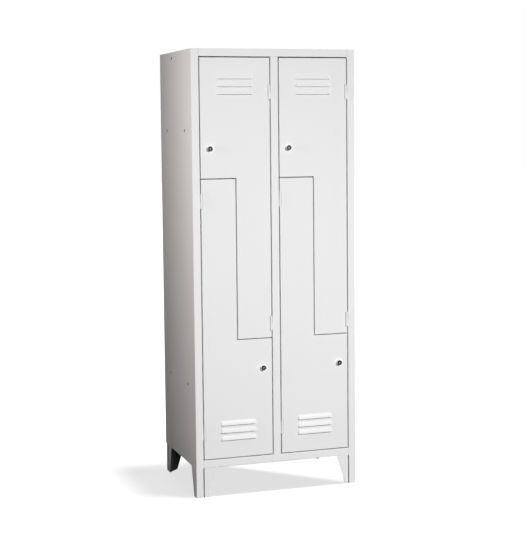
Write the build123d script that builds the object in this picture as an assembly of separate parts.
from build123d import *
import os

# A steel Z locker with two columns, four L-shaped doors and four tapered feet.
# Millimetres. X runs to the right seen from the front, Y to the rear and Z up. The origin lies on
# the floor under the middle of the box that holds the locker and its lock heads.

# Overall sizes
LOCKER_WIDTH = 690.0
LOCKER_DEPTH = 500.0
LOCKER_HEIGHT = 1800.0
FOOT_HEIGHT = 118.0          # underside of the side panels above the floor

# Sheet metal
CARCASS_SHEET = 1.0
DOOR_SHEET = 1.0
FOOT_SHEET = 1.5
FOLD_RADIUS = 1.5            # to the middle of the sheet
OVERRUN = 5.0                # how far a cutting solid reaches past what it cuts

# Door frame
STILE_WIDTH = 31.0
MULLION_WIDTH = 32.0
TOP_RAIL_HEIGHT = 31.0
BOTTOM_RAIL_HEIGHT = 31.0
BASE_LIFT = 2.0              # underside of the bottom rail above the side panels' edges
RAIL_JOINT = 0.3             # open joint between the top rail and each stile
RETURN_DEPTH = 21.0          # how far the frame's folds reach back from the front face
STILE_LIP = 14.0
MULLION_LIP = 8.0
RAIL_LIP = 12.0
BASE_LIP = 15.0
REAR_FLANGE = 16.0

# Doors and the Z that parts them
DOOR_GAP = 4.0
DOOR_DEPTH = 18.0
DOOR_LIP = 10.0
DOOR_EDGE_RADIUS = 1.4
STEP_HEIGHT = 650.0          # between the two level stretches of the Z gap
SHELF_FLANGE = 20.0
PARTITION_FLANGE = 12.0
STOP_STRIP_WIDTH = 28.0

# Louvres
LOUVRE_COUNT = 3
LOUVRE_WIDTH = 150.0
LOUVRE_HEIGHT = 20.0
LOUVRE_PITCH = 30.5
LOUVRE_RISE = 6.0            # how far a hood stands out of the door
LOUVRE_BULGE_SHARE = 0.72    # how full a hood is halfway up, as a share of its rise
UPPER_LOUVRE_DROP = 145.5    # from an upper door's top edge to its lowest louvre's lip
LOWER_LOUVRE_LIFT = 73.0     # from a lower door's bottom edge to its lowest louvre's lip

# Hinges
HINGE_LENGTH = 58.0
HINGE_RADIUS = 4.5
HINGE_INSET = 1.8            # from the door's hinge edge to the pin's axis
HINGE_LEAF = 2.0
HINGE_LEAF_DEPTH = 16.0      # behind the front face
DOOR_LEAF_START = 3.0        # where a door leaf leaves its barrel, behind the pin's axis
PIN_RADIUS = 2.0
PIN_CLEARANCE = 0.05
KNUCKLE_GAP = 0.3
HINGE_CLEARANCE = 1.2        # round the barrel in the door's notches
UPPER_HINGE_FROM_TOP = 136.0
UPPER_HINGE_FROM_BOTTOM = 57.5
LOWER_HINGE_FROM_TOP = 85.5
LOWER_HINGE_FROM_BOTTOM = 109.0

# Locks
LOCK_INSET = 38.0            # from the door's free edge
LOCK_FROM_STEP = 118.0       # from the level edge of the wide part
LOCK_HEAD_RADIUS = 10.5
LOCK_HEAD_LENGTH = 10.5
LOCK_HEAD_BEVEL = 1.2
LOCK_BODY_RADIUS = 9.0
LOCK_HOLE_CLEARANCE = 0.1
PLUG_RADIUS = 6.5
PLUG_FACE_RADIUS = 8.5
PLUG_FACE_DEPTH = 2.0
PLUG_CLEARANCE = 0.05
PLUG_FACE_CLEARANCE = 0.3
KEYWAY_WIDTH = 1.6
KEYWAY_LENGTH = 7.6
KEYWAY_DEPTH = 6.0
KEYWAY_POCKET_WIDTH = 5.0    # shallow pocket round the keyway
KEYWAY_POCKET_LENGTH = 9.4
KEYWAY_POCKET_DEPTH = 0.7
LOWER_KEYWAY_TURN = 45.0     # degrees
TAIL_WIDTH = 7.0
TAIL_CLEARANCE = 0.1
CAM_LENGTH = 49.0            # from the lock's axis to the tip
CAM_WIDTH = 15.0
CAM_THICKNESS = 2.0
CAM_CLEARANCE = 2.0          # behind the frame's lips
NUT_FLATS = 24.0
NUT_THICKNESS = 5.0

# Door stiffeners
STIFFENER_WIDTH = 50.0
STIFFENER_CROWN = 30.0
STIFFENER_DEPTH = 14.0
STIFFENER_INSET = 10.0       # from the door's hinge edge
STIFFENER_SHORT = 12.0       # from the door's top and bottom edges

# Buffers
BUFFER_RADIUS = 4.5
BUFFER_OFFSET = 7.0          # from the middle of the gap
BUFFER_END_INSET = 20.0
SEAT_GAP = 0.3

# Clothes rails
RAIL_RADIUS = 8.0
RAIL_WALL = 1.2
RAIL_BELOW_CEILING = 90.0
SHORT_RAIL_BELOW_SHELF = 60.0
SOCKET_FLANGE_RADIUS = 15.0
SOCKET_FLANGE = 1.5
SOCKET_DEPTH = 10.0
SOCKET_WALL = 2.0
SOCKET_CLEARANCE = 0.15

# Feet
POST_WIDTH = 29.0
FOOT_SLOT = 4.0              # open slot between the post and the gusset
SLOT_DEPTH = 12.0
WING_TOP = 85.0
WING_BOTTOM = 47.0
FRONT_SIDE_WING_TOP = 74.0
FRONT_SIDE_WING_BOTTOM = 37.5
REAR_SIDE_WING_TOP = 88.0
REAR_SIDE_WING_BOTTOM = 52.0
REAR_FOOT_INSET = 12.0
INSERT_HEIGHT = 112.0        # of the plastic insert inside each foot
INSERT_EDGE = 0.8            # from the insert to a wing's slanted edge
INSERT_RIM = 3.0             # the insert's thickness at that edge
INSERT_COVER = 3.0           # the insert in front of the gusset's folds
INSERT_CLEARANCE = 0.2

# Holes for joining lockers and for fixing to a wall
JOINING_HOLE_RADIUS = 4.5
JOINING_SPACING_Y = 280.0
JOINING_SPACING_Z = 1030.0
JOINING_HOLE_LIFT = 329.0    # lower pair above the side panels' edges
TOP_HOLE_RADIUS = 4.5
TOP_HOLE_DROP = 25.0
TOP_HOLE_OFFSET = 49.0       # behind the middle of the depth
WALL_HOLE_RADIUS = 4.0
WALL_HOLE_INSET = 65.0       # from each side of the locker
WALL_HOLE_DROP = 60.0

# Places that follow from the sizes above
HALF_WIDTH = LOCKER_WIDTH / 2
FRONT = (LOCK_HEAD_LENGTH - LOCKER_DEPTH) / 2
REAR = FRONT + LOCKER_DEPTH
MIDDLE_Y = (FRONT + REAR) / 2
BASE_BOTTOM = FOOT_HEIGHT + BASE_LIFT
OPENING_BOTTOM = BASE_BOTTOM + BOTTOM_RAIL_HEIGHT
OPENING_TOP = LOCKER_HEIGHT - TOP_RAIL_HEIGHT
OPENING_WIDTH = (LOCKER_WIDTH - 2 * STILE_WIDTH - MULLION_WIDTH) / 2
OPENING_HEIGHT = OPENING_TOP - OPENING_BOTTOM
OPENING_MIDDLE = (OPENING_TOP + OPENING_BOTTOM) / 2
COLUMN_X = (MULLION_WIDTH + OPENING_WIDTH) / 2
LIP_FRONT = FRONT + RETURN_DEPTH - CARCASS_SHEET
LIP_BACK = FRONT + RETURN_DEPTH
BACK_PANEL_FRONT = REAR - 2 * CARCASS_SHEET
WALL_INSIDE = HALF_WIDTH - CARCASS_SHEET
HALF_SHEET = CARCASS_SHEET / 2
CAM_FRONT = LIP_BACK + CAM_CLEARANCE

COLUMNS = {"left": -COLUMN_X, "right": COLUMN_X}
LEVELS = {"upper": 1, "lower": -1}


def save(shape, name):
    export_step(shape, os.path.join("parts", name + ".step"))


def folded(points, thickness, radius=FOLD_RADIUS):
    """Cross-section of a folded sheet: its middle line, rounded at the folds, given its thickness."""
    return trace(FilletPolyline(*points, radius=radius), thickness)


def along_x(outline, start, end):
    """Prism of an outline drawn as (y, z)."""
    return Pos(start, 0, 0) * extrude(Plane.YZ * outline, end - start)


def along_y(outline, start, end):
    """Prism of an outline drawn as (x, z)."""
    return Pos(0, end, 0) * extrude(Plane.XZ * outline, end - start)


def along_z(outline, start, end):
    """Prism of an outline drawn as (x, y)."""
    return Pos(0, 0, start) * extrude(outline, end - start)


def block(x0, x1, y0, y1, z0, z1):
    middle = Pos((x0 + x1) / 2, (y0 + y1) / 2, (z0 + z1) / 2)
    return middle * Box(x1 - x0, y1 - y0, z1 - z0)


def rod_along_x(x0, x1, y, z, radius):
    return Pos((x0 + x1) / 2, y, z) * Rot(0, 90, 0) * Cylinder(radius, x1 - x0)


def rod_along_y(x, y0, y1, z, radius):
    return Pos(x, (y0 + y1) / 2, z) * Rot(90, 0, 0) * Cylinder(radius, y1 - y0)


def rod_along_z(x, y, z0, z1, radius):
    return Pos(x, y, (z0 + z1) / 2) * Cylinder(radius, z1 - z0)


def door_edges(side):
    """Edges of a door in its column, as offsets from the opening's middle; the lower door is turned
    half round. Keys are named for the upper door."""
    return {
        "hinge": side * (OPENING_WIDTH / 2 - DOOR_GAP),
        "free": -side * (OPENING_WIDTH / 2 - DOOR_GAP),
        "outer": side * (OPENING_HEIGHT / 2 - DOOR_GAP),
        "step": side * (STEP_HEIGHT + DOOR_GAP) / 2,
        "tip": -side * (STEP_HEIGHT - DOOR_GAP) / 2,
    }


def door_outline(column_x, side, inset):
    """The door's L, drawn in by an inset all round."""
    hinge = OPENING_WIDTH / 2 - DOOR_GAP - inset
    riser = DOOR_GAP / 2 + inset
    outer = OPENING_HEIGHT / 2 - DOOR_GAP - inset
    step = (STEP_HEIGHT + DOOR_GAP) / 2 + inset
    tip = -(STEP_HEIGHT - DOOR_GAP) / 2 + inset
    corners = [(-hinge, outer), (-hinge, step), (riser, step), (riser, tip), (hinge, tip), (hinge, outer)]
    placed = [(column_x + side * u, OPENING_MIDDLE + side * w) for u, w in corners]
    return make_face(Polyline(*placed, close=True))


def hinge_edge(column_x, side):
    return column_x + door_edges(side)["hinge"]


def hinge_x(column_x, side):
    """The pins' axis, just inside the door's hinge edge and in the plane of its face."""
    return hinge_edge(column_x, side) - side * HINGE_INSET


def hinge_heights(side):
    edges = door_edges(side)
    if side > 0:
        top = OPENING_MIDDLE + edges["outer"]
        bottom = OPENING_MIDDLE + edges["tip"]
        return [top - UPPER_HINGE_FROM_TOP, bottom + UPPER_HINGE_FROM_BOTTOM]
    top = OPENING_MIDDLE + edges["tip"]
    bottom = OPENING_MIDDLE + edges["outer"]
    return [top - LOWER_HINGE_FROM_TOP, bottom + LOWER_HINGE_FROM_BOTTOM]


def lock_place(column_x, side):
    edges = door_edges(side)
    x = column_x + edges["free"] + side * LOCK_INSET
    z = OPENING_MIDDLE + edges["step"] + side * LOCK_FROM_STEP
    return x, z


def hinge_notches(column_x, side):
    """What the barrels' notches take from a door."""
    reach = HINGE_RADIUS + HINGE_CLEARANCE
    x = hinge_x(column_x, side)
    half = HINGE_LENGTH / 2 + HINGE_CLEARANCE
    cuts = [block(x - reach, x + reach, FRONT - OVERRUN, FRONT + reach, z - half, z + half)
            for z in hinge_heights(side)]
    return cuts[0] + cuts[1]


def left_side_panel():
    """Lip, return, stile, side wall and rear flange in one sheet."""
    inner = -HALF_WIDTH + STILE_WIDTH
    path = [
        (inner - STILE_LIP, LIP_BACK - HALF_SHEET),
        (inner - HALF_SHEET, LIP_BACK - HALF_SHEET),
        (inner - HALF_SHEET, FRONT + HALF_SHEET),
        (-HALF_WIDTH + HALF_SHEET, FRONT + HALF_SHEET),
        (-HALF_WIDTH + HALF_SHEET, REAR - HALF_SHEET),
        (-HALF_WIDTH + REAR_FLANGE, REAR - HALF_SHEET),
    ]
    panel = along_z(folded(path, CARCASS_SHEET), FOOT_HEIGHT, LOCKER_HEIGHT - CARCASS_SHEET)
    low = FOOT_HEIGHT + JOINING_HOLE_LIFT
    holes = [(y, z, JOINING_HOLE_RADIUS)
             for y in (MIDDLE_Y - JOINING_SPACING_Y / 2, MIDDLE_Y + JOINING_SPACING_Y / 2)
             for z in (low, low + JOINING_SPACING_Z)]
    holes.append((MIDDLE_Y + TOP_HOLE_OFFSET, LOCKER_HEIGHT - TOP_HOLE_DROP, TOP_HOLE_RADIUS))
    for y, z, radius in holes:
        panel -= rod_along_x(-HALF_WIDTH - OVERRUN, -HALF_WIDTH + OVERRUN, y, z, radius)
    return panel


def stile_corners(x_side, z0, z1, joint=0):
    """Room for a side panel's stile in the roof and the base, with an open joint beside it."""
    inner = HALF_WIDTH - STILE_WIDTH - joint
    x0, x1 = sorted((x_side * inner, x_side * (HALF_WIDTH + OVERRUN)))
    return block(x0, x1, FRONT - OVERRUN, LIP_BACK, z0, z1)


def roof_panel():
    top = LOCKER_HEIGHT - HALF_SHEET
    path = [
        (LIP_BACK - HALF_SHEET, OPENING_TOP + RAIL_LIP),
        (LIP_BACK - HALF_SHEET, OPENING_TOP + HALF_SHEET),
        (FRONT + HALF_SHEET, OPENING_TOP + HALF_SHEET),
        (FRONT + HALF_SHEET, top),
        (REAR - HALF_SHEET, top),
        (REAR - HALF_SHEET, LOCKER_HEIGHT - REAR_FLANGE),
    ]
    roof = along_x(folded(path, CARCASS_SHEET), -HALF_WIDTH, HALF_WIDTH)
    under = LOCKER_HEIGHT - CARCASS_SHEET
    for x_side in (-1, 1):
        roof -= stile_corners(x_side, OPENING_TOP - OVERRUN, under, RAIL_JOINT)
        x0, x1 = sorted((x_side * (HALF_WIDTH - REAR_FLANGE), x_side * (HALF_WIDTH + OVERRUN)))
        roof -= block(x0, x1, REAR - 2 * CARCASS_SHEET, REAR + OVERRUN, OPENING_TOP - OVERRUN, under)
    return roof


def base_panel():
    floor = OPENING_BOTTOM - HALF_SHEET
    under = BASE_BOTTOM + HALF_SHEET
    rear = BACK_PANEL_FRONT - HALF_SHEET
    path = [
        (FRONT + BASE_LIP, under),
        (FRONT + HALF_SHEET, under),
        (FRONT + HALF_SHEET, floor),
        (rear, floor),
        (rear, under),
        (BACK_PANEL_FRONT - BASE_LIP, under),
    ]
    base = along_x(folded(path, CARCASS_SHEET), -WALL_INSIDE, WALL_INSIDE)
    for x_side in (-1, 1):
        base -= stile_corners(x_side, BASE_BOTTOM - OVERRUN, OPENING_BOTTOM + OVERRUN)
    return base


def back_panel():
    """Flat sheet inside the rear flanges, short of their folds."""
    half = WALL_INSIDE - FOLD_RADIUS
    top = LOCKER_HEIGHT - CARCASS_SHEET - FOLD_RADIUS
    panel = block(-half, half, BACK_PANEL_FRONT, BACK_PANEL_FRONT + CARCASS_SHEET, BASE_BOTTOM, top)
    z = LOCKER_HEIGHT - WALL_HOLE_DROP
    for x_side in (-1, 1):
        x = x_side * (HALF_WIDTH - WALL_HOLE_INSET)
        panel -= rod_along_y(x, BACK_PANEL_FRONT - OVERRUN, REAR + OVERRUN, z, WALL_HOLE_RADIUS)
    return panel


def centre_mullion():
    half = MULLION_WIDTH / 2
    path = [
        (-half + MULLION_LIP, LIP_BACK - HALF_SHEET),
        (-half + HALF_SHEET, LIP_BACK - HALF_SHEET),
        (-half + HALF_SHEET, FRONT + HALF_SHEET),
        (half - HALF_SHEET, FRONT + HALF_SHEET),
        (half - HALF_SHEET, LIP_BACK - HALF_SHEET),
        (half - MULLION_LIP, LIP_BACK - HALF_SHEET),
    ]
    return along_z(folded(path, CARCASS_SHEET), OPENING_BOTTOM, OPENING_TOP)


def centre_partition():
    path = [
        (PARTITION_FLANGE, LIP_BACK + HALF_SHEET),
        (0, LIP_BACK + HALF_SHEET),
        (0, BACK_PANEL_FRONT - HALF_SHEET),
        (-PARTITION_FLANGE, BACK_PANEL_FRONT - HALF_SHEET),
    ]
    return along_z(folded(path, CARCASS_SHEET), OPENING_BOTTOM, LOCKER_HEIGHT - CARCASS_SHEET)


def column_walls(column_x):
    """Inner faces of the walls left and right of a column."""
    if column_x < 0:
        return -WALL_INSIDE, -HALF_SHEET
    return HALF_SHEET, WALL_INSIDE


def z_divider(column_x):
    """Upper shelf, riser and lower shelf in one sheet, with a flange at each wall."""
    left, right = column_walls(column_x)
    high = OPENING_MIDDLE + STEP_HEIGHT / 2
    low = OPENING_MIDDLE - STEP_HEIGHT / 2
    path = [
        (left + HALF_SHEET, high - SHELF_FLANGE),
        (left + HALF_SHEET, high),
        (column_x, high),
        (column_x, low),
        (right - HALF_SHEET, low),
        (right - HALF_SHEET, low + SHELF_FLANGE),
    ]
    divider = along_y(folded(path, CARCASS_SHEET), LIP_BACK, BACK_PANEL_FRONT)
    # one corner is cut away for the partition's flange and its fold
    fold = CARCASS_SHEET + FOLD_RADIUS
    if column_x > 0:
        return divider - block(left, left + PARTITION_FLANGE, LIP_BACK, LIP_BACK + fold,
                               high - SHELF_FLANGE - OVERRUN, high + OVERRUN)
    return divider - block(right - PARTITION_FLANGE, right, BACK_PANEL_FRONT - fold, BACK_PANEL_FRONT,
                           low - OVERRUN, low + SHELF_FLANGE + OVERRUN)


def z_stop_strip(column_x):
    """Flat Z behind the gap between a column's doors."""
    half = STOP_STRIP_WIDTH / 2
    left = column_x - OPENING_WIDTH / 2
    right = column_x + OPENING_WIDTH / 2
    high = OPENING_MIDDLE + STEP_HEIGHT / 2
    low = OPENING_MIDDLE - STEP_HEIGHT / 2
    outline = Polyline(
        (left, high + half), (column_x + half, high + half), (column_x + half, low + half),
        (right, low + half), (right, low - half), (column_x - half, low - half),
        (column_x - half, high - half), (left, high - half), close=True)
    return along_y(make_face(outline), LIP_FRONT, LIP_BACK)


def buffers(column_x):
    """Four round buffers a column: one by each door's free corner and one beside the riser for each."""
    pieces = []
    for side in LEVELS.values():
        edges = door_edges(side)
        corner_x = column_x + edges["free"] + side * BUFFER_END_INSET
        corner_z = OPENING_MIDDLE + side * (STEP_HEIGHT / 2 + BUFFER_OFFSET)
        riser_x = column_x + side * BUFFER_OFFSET
        riser_z = OPENING_MIDDLE - side * STEP_HEIGHT / 4
        for x, z in ((corner_x, corner_z), (riser_x, riser_z)):
            pieces.append(rod_along_y(x, FRONT + DOOR_DEPTH + SEAT_GAP, LIP_FRONT, z, BUFFER_RADIUS))
    return pieces


def louvre_profile(height, rise):
    """Section of a hood as (how far it stands out, height): full at its lip, flat at its top."""
    crown = ThreePointArc((rise, 0), (rise * LOUVRE_BULGE_SHARE, height / 2), (0, height))
    flat = Polyline((0, height), (0, 0), (rise, 0))
    return make_face(flat.edges() + crown.edges())


def louvre_body(width, height, rise):
    """A hood's solid, standing out of the plane y = 0 towards -y, on z = 0: a straight stretch and
    two ends turned a quarter round."""
    profile = louvre_profile(height, rise)
    straight = width - 2 * rise
    section = Plane(origin=(-straight / 2, 0, 0), x_dir=(0, -1, 0), z_dir=(-1, 0, 0)) * profile
    body = extrude(section, straight, dir=(1, 0, 0))
    for end in (-1, 1):
        axis = Axis((end * straight / 2, 0, 0), (0, 0, 1))
        start = Plane(origin=(end * straight / 2, 0, 0), x_dir=(0, -1, 0), z_dir=(-1, 0, 0)) * profile
        body += revolve(start, axis, end * 90)
    return body


def louvres(column_x, side):
    """The hoods' outer solids and the hollows that they leave, for one door."""
    edges = door_edges(side)
    if side > 0:
        first = OPENING_MIDDLE + edges["outer"] - UPPER_LOUVRE_DROP
    else:
        first = OPENING_MIDDLE + edges["outer"] + LOWER_LOUVRE_LIFT
    outer = louvre_body(LOUVRE_WIDTH, LOUVRE_HEIGHT, LOUVRE_RISE + DOOR_SHEET)
    inner = louvre_body(LOUVRE_WIDTH - 2 * DOOR_SHEET, LOUVRE_HEIGHT - DOOR_SHEET, LOUVRE_RISE)
    places = [Pos(column_x, FRONT + DOOR_SHEET, first + k * LOUVRE_PITCH) for k in range(LOUVRE_COUNT)]
    return [place * outer for place in places], [place * inner for place in places]


def door_panel(column_x, side):
    """L-shaped tray with edges folded back and in again, louvres, a lock hole and hinge notches."""
    back = FRONT + DOOR_DEPTH
    tray = along_y(door_outline(column_x, side, 0), FRONT, back)
    tray = fillet(tray.edges().filter_by_position(Axis.Y, FRONT, FRONT), DOOR_EDGE_RADIUS)
    tray -= along_y(door_outline(column_x, side, DOOR_SHEET), FRONT + DOOR_SHEET, back - DOOR_SHEET)
    tray -= along_y(door_outline(column_x, side, DOOR_SHEET + DOOR_LIP), FRONT + DOOR_SHEET, back + OVERRUN)
    hoods, hollows = louvres(column_x, side)
    for hood in hoods:
        tray += hood
    for hollow in hollows:
        tray -= hollow
    lock_x, lock_z = lock_place(column_x, side)
    tray -= rod_along_y(lock_x, FRONT - OVERRUN, FRONT + OVERRUN, lock_z,
                        LOCK_BODY_RADIUS + LOCK_HOLE_CLEARANCE)
    return tray - hinge_notches(column_x, side)


def door_stiffener(column_x, side):
    """Hat section down the hinge side, welded to the back of the door's face."""
    outer = STIFFENER_WIDTH / 2
    crown = STIFFENER_CROWN / 2
    half = DOOR_SHEET / 2
    near = FRONT + DOOR_SHEET + half
    far = FRONT + DOOR_SHEET + STIFFENER_DEPTH - half
    x = hinge_edge(column_x, side) - side * (STIFFENER_INSET + outer)
    path = [(x - outer, near), (x - crown, near), (x - crown, far), (x + crown, far), (x + crown, near),
            (x + outer, near)]
    edges = door_edges(side)
    ends = sorted((OPENING_MIDDLE + edges["outer"] - side * STIFFENER_SHORT,
                   OPENING_MIDDLE + edges["tip"] + side * STIFFENER_SHORT))
    return along_z(folded(path, DOOR_SHEET), ends[0], ends[1])


def knuckle(x, z0, z1):
    return rod_along_z(x, FRONT, z0, z1, HINGE_RADIUS)


def knuckle_bore(x, z0, z1):
    return rod_along_z(x, FRONT, z0 - OVERRUN, z1 + OVERRUN, PIN_RADIUS + PIN_CLEARANCE)


def hinge_leaf(x, wall, way, start, z0, z1):
    """One knuckle with the leaf that runs back from it, flat against a wall on its outer side."""
    low, high = sorted((wall, wall - way * HINGE_LEAF))
    leaf = block(low, high, FRONT + start, FRONT + HINGE_LEAF_DEPTH, z0, z1)
    return knuckle(x, z0, z1) + leaf - knuckle_bore(x, z0, z1)


def door_leaves(column_x, side):
    """The upper knuckles, with their leaves inside the door's folded edge."""
    x = hinge_x(column_x, side)
    wall = hinge_edge(column_x, side) - side * DOOR_SHEET
    return [hinge_leaf(x, wall, side, DOOR_LEAF_START, z + KNUCKLE_GAP / 2, z + HINGE_LENGTH / 2)
            for z in hinge_heights(side)]


def frame_leaves(column_x, side):
    """The lower knuckles, with their leaves in the door gap, against the frame's return."""
    x = hinge_x(column_x, side)
    wall = hinge_edge(column_x, side) + side * DOOR_GAP
    return [hinge_leaf(x, wall, side, 0, z - HINGE_LENGTH / 2, z - KNUCKLE_GAP / 2)
            for z in hinge_heights(side)]


def pins(column_x, side):
    x = hinge_x(column_x, side)
    half = HINGE_LENGTH / 2
    return [rod_along_z(x, FRONT, z - half, z + half, PIN_RADIUS) for z in hinge_heights(side)]


def lock_housing(x, z):
    """Round head on the door's face and a plain body through it, bored for the plug."""
    head_front = FRONT - LOCK_HEAD_LENGTH
    body_end = CAM_FRONT - SEAT_GAP
    head = rod_along_y(x, head_front, FRONT, z, LOCK_HEAD_RADIUS)
    head = chamfer(head.edges().filter_by_position(Axis.Y, head_front, head_front), LOCK_HEAD_BEVEL)
    body = head + rod_along_y(x, FRONT, body_end, z, LOCK_BODY_RADIUS)
    body -= rod_along_y(x, head_front - OVERRUN, body_end + OVERRUN, z, PLUG_RADIUS + PLUG_CLEARANCE)
    seat = head_front + PLUG_FACE_DEPTH + PLUG_FACE_CLEARANCE
    body -= rod_along_y(x, head_front - OVERRUN, seat, z, PLUG_FACE_RADIUS + PLUG_FACE_CLEARANCE)
    return body


def lock_nut(x, z):
    """Hexagon nut behind the door's face."""
    near = FRONT + DOOR_SHEET
    hexagon = Pos(x, z) * RegularPolygon(NUT_FLATS / 2, 6, major_radius=False)
    nut = along_y(hexagon, near, near + NUT_THICKNESS)
    return nut - rod_along_y(x, near - OVERRUN, near + NUT_THICKNESS + OVERRUN, z,
                             LOCK_BODY_RADIUS + LOCK_HOLE_CLEARANCE)


def lock_plug(x, z, side):
    """Face disc with its keyway, barrel through the housing and a square tail for the cam."""
    face = FRONT - LOCK_HEAD_LENGTH
    plug = rod_along_y(x, face, face + PLUG_FACE_DEPTH, z, PLUG_FACE_RADIUS)
    plug += rod_along_y(x, face, CAM_FRONT, z, PLUG_RADIUS)
    half = TAIL_WIDTH / 2
    plug += block(x - half, x + half, CAM_FRONT, CAM_FRONT + CAM_THICKNESS, z - half, z + half)
    turn = 0 if side > 0 else LOWER_KEYWAY_TURN
    cuts = [Box(KEYWAY_POCKET_WIDTH, 2 * KEYWAY_POCKET_DEPTH, KEYWAY_POCKET_LENGTH),
            Box(KEYWAY_WIDTH, 2 * KEYWAY_DEPTH, KEYWAY_LENGTH)]
    for cut in cuts:
        plug -= Pos(x, face, z) * Rot(0, turn, 0) * cut
    return plug


def lock_cam(x, z):
    """Flat cam, hanging at rest and turned level to lock."""
    reach = CAM_LENGTH - CAM_WIDTH / 2
    outline = Pos(x, z - reach / 2) * SlotCenterToCenter(reach, CAM_WIDTH, rotation=90)
    cam = along_y(outline, CAM_FRONT, CAM_FRONT + CAM_THICKNESS)
    hole = TAIL_WIDTH / 2 + TAIL_CLEARANCE
    return cam - block(x - hole, x + hole, CAM_FRONT - OVERRUN, CAM_FRONT + OVERRUN, z - hole, z + hole)


def rail_span(column_x, side):
    """Walls between which a compartment's clothes rail runs, and the rail's height."""
    left, right = column_walls(column_x)
    if side > 0:
        return left, right, LOCKER_HEIGHT - CARCASS_SHEET - RAIL_BELOW_CEILING
    height = OPENING_MIDDLE + STEP_HEIGHT / 2 - HALF_SHEET - SHORT_RAIL_BELOW_SHELF
    return left, column_x - HALF_SHEET, height


def clothes_rail(column_x, side):
    x0, x1, z = rail_span(column_x, side)
    inset = SOCKET_FLANGE + SEAT_GAP
    tube = rod_along_x(x0 + inset, x1 - inset, MIDDLE_Y, z, RAIL_RADIUS)
    return tube - rod_along_x(x0, x1, MIDDLE_Y, z, RAIL_RADIUS - RAIL_WALL)


def rail_sockets(column_x, side):
    """A flanged cup at each end of a rail."""
    x0, x1, z = rail_span(column_x, side)
    cups = []
    for wall, way in ((x0, 1), (x1, -1)):
        flange_end = wall + way * SOCKET_FLANGE
        mouth = flange_end + way * SOCKET_DEPTH
        flange = rod_along_x(*sorted((wall, flange_end)), MIDDLE_Y, z, SOCKET_FLANGE_RADIUS)
        bore = RAIL_RADIUS + SOCKET_CLEARANCE
        cup = rod_along_x(*sorted((wall, mouth)), MIDDLE_Y, z, bore + SOCKET_WALL)
        hollow = rod_along_x(*sorted((flange_end, mouth + way * OVERRUN)), MIDDLE_Y, z, bore)
        cups.append(flange + cup - hollow)
    return cups


def foot_parts(side_top, side_bottom):
    """Post, gusset and insert of a foot at the corner x = 0, y = 0, with the locker towards +x, +y."""
    t = FOOT_SHEET
    half = t / 2
    angle = Polyline((0, POST_WIDTH), (0, 0), (POST_WIDTH, 0), (POST_WIDTH, t), (t, t), (t, POST_WIDTH),
                     close=True)
    post = along_z(make_face(angle), 0, FOOT_HEIGHT)
    corner = [e for e in post.edges().filter_by(Axis.Z) if e.center().X < half and e.center().Y < half]
    post = fillet(corner, FOLD_RADIUS)
    wing = POST_WIDTH + FOOT_SLOT
    path = [
        (WING_TOP, half), (wing + half, half), (wing + half, SLOT_DEPTH), (SLOT_DEPTH, SLOT_DEPTH),
        (SLOT_DEPTH, wing + half), (half, wing + half), (half, side_top),
    ]
    gusset = along_z(folded(path, t), 0, FOOT_HEIGHT)
    gusset += block(wing + t, WING_TOP, 0, t, FOOT_HEIGHT - OVERRUN, BASE_BOTTOM)
    gusset -= taper_cut(WING_TOP, WING_BOTTOM, BASE_BOTTOM)
    gusset -= swap_xy(taper_cut(side_top, side_bottom, FOOT_HEIGHT))
    return post, gusset, foot_insert(side_top, side_bottom)


def taper_cut(top, bottom, height):
    """What the slanted edge takes from a wing that lies along x."""
    outline = make_face(Polyline((bottom, 0), (top + OVERRUN, 0), (top + OVERRUN, height), (top, height),
                                 close=True))
    return along_y(outline, -OVERRUN, 2 * FOOT_SHEET)


def swap_xy(shape):
    """Turns a wing that lies along x into one that lies along y."""
    return mirror(shape, about=Plane(origin=(0, 0, 0), z_dir=(1, -1, 0)))


def insert_outline(reach_x, reach_y):
    """Cross-section of a foot's insert, from one wing's edge round the gusset's folds to the other's."""
    near = FOOT_SHEET + INSERT_CLEARANCE
    rim = near + INSERT_RIM
    fold = POST_WIDTH + FOOT_SLOT + FOOT_SHEET + FOLD_RADIUS
    cover = SLOT_DEPTH + FOOT_SHEET / 2 + INSERT_CLEARANCE + INSERT_COVER
    return Polyline((near, near), (reach_x, near), (reach_x, rim), (fold, cover), (cover, fold),
                    (rim, reach_y), (near, reach_y), close=True)


def foot_insert(side_top, side_bottom):
    """Moulded plastic that fills a foot from the floor up, tapered with the wings."""
    reach_x = WING_BOTTOM - INSERT_EDGE
    reach_y = side_bottom - INSERT_EDGE
    spread_x = (WING_TOP - WING_BOTTOM) * INSERT_HEIGHT / BASE_BOTTOM
    spread_y = (side_top - side_bottom) * INSERT_HEIGHT / FOOT_HEIGHT
    foot = make_face(insert_outline(reach_x, reach_y))
    head = Pos(0, 0, INSERT_HEIGHT) * make_face(insert_outline(reach_x + spread_x, reach_y + spread_y))
    body = loft([foot, head], ruled=True)
    fold = POST_WIDTH + FOOT_SLOT + FOOT_SHEET + FOLD_RADIUS
    web = SLOT_DEPTH + FOOT_SHEET / 2 + INSERT_CLEARANCE
    body -= block(0, fold, 0, web, -OVERRUN, INSERT_HEIGHT + OVERRUN)
    return body - block(0, web, 0, fold, -OVERRUN, INSERT_HEIGHT + OVERRUN)


def place_foot(shape, row, x_side):
    """Moves a foot from its own corner to one of the locker's corners."""
    if row == "rear":
        shape = Pos(0, REAR - REAR_FOOT_INSET, 0) * mirror(shape, about=Plane.XZ)
    else:
        shape = Pos(0, FRONT, 0) * shape
    shape = Pos(-HALF_WIDTH, 0, 0) * shape
    return mirror(shape, about=Plane.YZ) if x_side > 0 else shape


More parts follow.
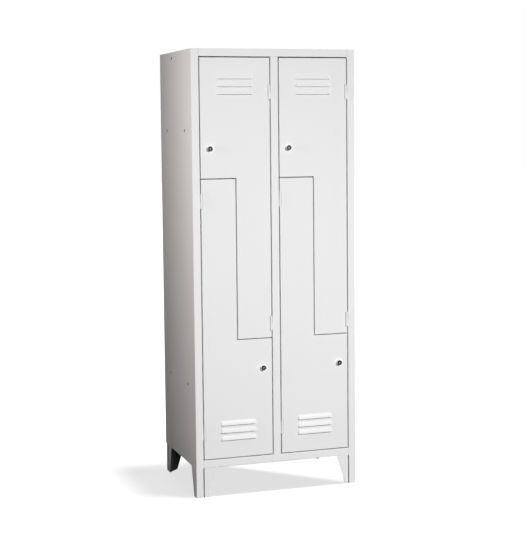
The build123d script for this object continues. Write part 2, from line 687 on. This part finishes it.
def save_carcass():
    left = left_side_panel()
    save(left, "left_side_panel")
    save(mirror(left, about=Plane.YZ), "right_side_panel")
    save(centre_mullion(), "centre_mullion")
    save(roof_panel(), "roof_panel")
    save(base_panel(), "base_panel")
    save(back_panel(), "back_panel")
    save(centre_partition(), "centre_partition")
    for name, x in COLUMNS.items():
        save(z_divider(x), "z_divider_" + name)
        save(z_stop_strip(x), "z_stop_strip_" + name)


def save_feet():
    inserts = []
    rows = {"front": (FRONT_SIDE_WING_TOP, FRONT_SIDE_WING_BOTTOM),
            "rear": (REAR_SIDE_WING_TOP, REAR_SIDE_WING_BOTTOM)}
    for row, side_wing in rows.items():
        post, gusset, insert = foot_parts(*side_wing)
        for name, x_side in (("left", -1), ("right", 1)):
            save(place_foot(post, row, x_side), "foot_post_" + row + "_" + name)
            save(place_foot(gusset, row, x_side), "foot_gusset_" + row + "_" + name)
            inserts.append(place_foot(insert, row, x_side))
    save(Compound(children=inserts), "foot_glides")


def save_doors():
    shared = {"hinge_frame_leaves": [], "hinge_pins": [], "door_buffers": [], "rail_sockets": []}
    for column, x in COLUMNS.items():
        shared["door_buffers"] += buffers(x)
        for level, side in LEVELS.items():
            name = level + "_" + column
            lock_x, lock_z = lock_place(x, side)
            save(door_panel(x, side), "door_panel_" + name)
            save(door_stiffener(x, side), "door_stiffener_" + name)
            save(Compound(children=door_leaves(x, side)), "hinge_door_leaves_" + name)
            save(lock_housing(lock_x, lock_z), "lock_housing_" + name)
            save(lock_nut(lock_x, lock_z), "lock_nut_" + name)
            save(lock_plug(lock_x, lock_z, side), "lock_plug_" + name)
            save(lock_cam(lock_x, lock_z), "lock_cam_" + name)
            save(clothes_rail(x, side), "clothes_rail_" + name)
            shared["hinge_frame_leaves"] += frame_leaves(x, side)
            shared["hinge_pins"] += pins(x, side)
            shared["rail_sockets"] += rail_sockets(x, side)
    for name, pieces in shared.items():
        save(Compound(children=pieces), name)


os.makedirs("parts", exist_ok=True)
save_carcass()
save_feet()
save_doors()
